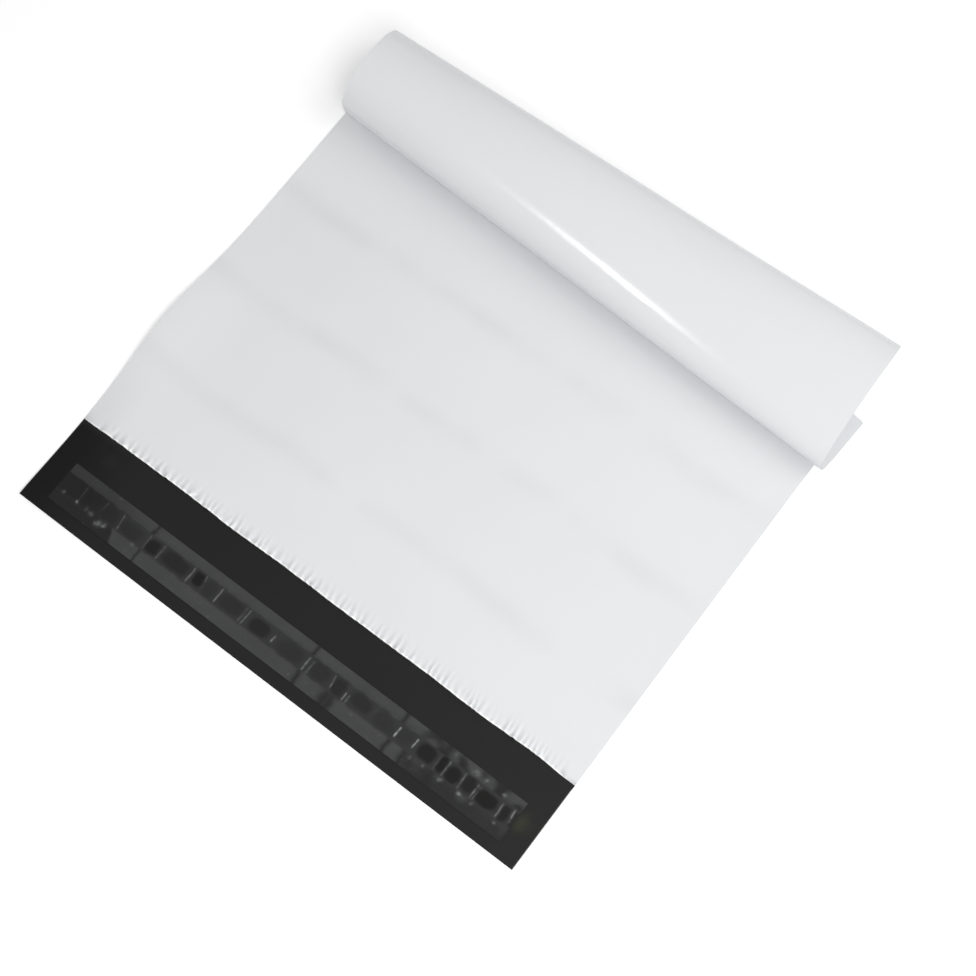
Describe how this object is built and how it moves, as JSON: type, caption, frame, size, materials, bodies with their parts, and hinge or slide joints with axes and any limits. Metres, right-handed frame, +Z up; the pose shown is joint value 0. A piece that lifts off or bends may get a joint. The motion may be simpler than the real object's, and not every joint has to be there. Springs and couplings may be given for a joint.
{
  "type": "poly mailer bag",
  "caption": "Flat plastic mailing bag, white outside and black inside, with a glued sealing flap and its closed end rolled over on top.",
  "frame": {"origin": "middle of the footprint, on the surface the bag lies on", "axes": "+Z up, +Y from the mouth and flap towards the rolled closed end, +X along the mouth"},
  "size_m": [0.2602, 0.2658, 0.0272],
  "materials": {
    "white_film": "soft gloss polyethylene film, white outside, black inside and on the flap",
    "hot_melt_glue": "tacky clear hot-melt glue",
    "clear_liner": "clear glossy release film"
  },
  "bodies": {
    "root": {"mailer_film": "white_film", "adhesive_strip": "hot_melt_glue", "release_liner": "clear_liner"}
  },
  "joints": []
}
